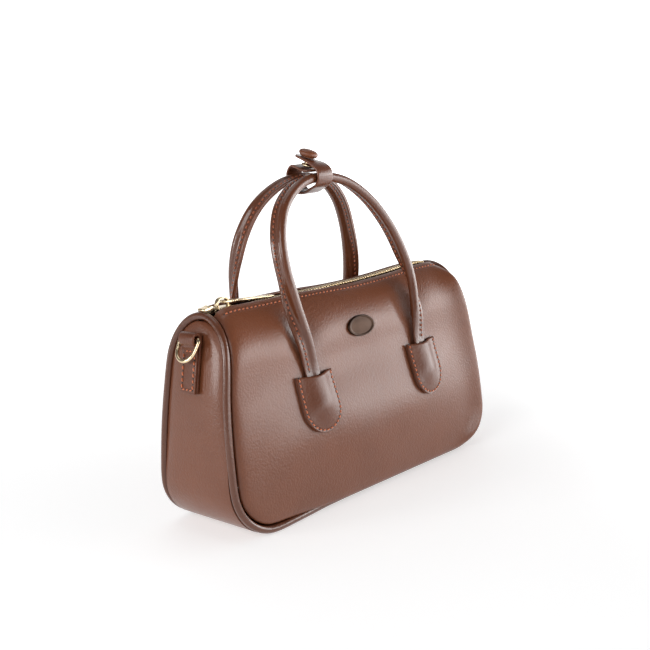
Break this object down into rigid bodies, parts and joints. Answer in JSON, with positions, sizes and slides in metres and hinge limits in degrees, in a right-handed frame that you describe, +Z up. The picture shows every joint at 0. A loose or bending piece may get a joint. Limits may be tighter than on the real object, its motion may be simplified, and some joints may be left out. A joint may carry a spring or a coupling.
{
  "type": "leather satchel",
  "caption": "Small zip-top leather satchel with rolled arched handles gathered by a keeper strap, piped seams, an oval front plate and D-ring tabs on its ends.",
  "frame": {"origin": "on the floor under the middle of the base", "axes": "+Z up, +X along the bag towards its right end seen from the front, the front towards -Y"},
  "size_m": [0.2498, 0.0852, 0.2187],
  "materials": {
    "leather": "smooth and glossy, with a fine grain",
    "gold": "polished pale gold plating",
    "bronze": "dark bronze",
    "tape": "woven zip tape"
  },
  "bodies": {
    "bag": {"front_panel": "leather", "back_panel": "leather", "gusset": "leather", "piping": "leather", "zip_tape_front": "tape", "zip_tape_back": "tape", "zip_chain": "gold", "zip_clip": "gold", "zip_slider": "gold", "front_handle": "leather", "back_handle": "leather", "front_left_patch": "leather", "front_right_patch": "leather", "back_left_patch": "leather", "back_right_patch": "leather", "keeper_strap": "leather", "keeper_stud": "leather", "keeper_snap": "gold", "front_plate": "bronze", "left_tab": "leather", "right_tab": "leather"},
    "puller": {"zip_puller": "gold"},
    "left_ring_body": {"left_ring": "gold"},
    "right_ring_body": {"right_ring": "gold"}
  },
  "joints": [
    {"name": "left_ring_swing", "type": "hinge", "parent": "bag", "child": "left_ring_body", "pos_m": [-0.11703, 0, 0.11765], "axis": [0, 1, 0], "range_deg": [0, 150]},
    {"name": "right_ring_swing", "type": "hinge", "parent": "bag", "child": "right_ring_body", "pos_m": [0.11703, 0, 0.11765], "axis": [0, -1, 0], "range_deg": [0, 150]},
    {"name": "puller_flip", "type": "hinge", "parent": "bag", "child": "puller", "pos_m": [-0.09, 0, 0.1347], "axis": [0, -1, 0], "range_deg": [0, 150]}
  ]
}
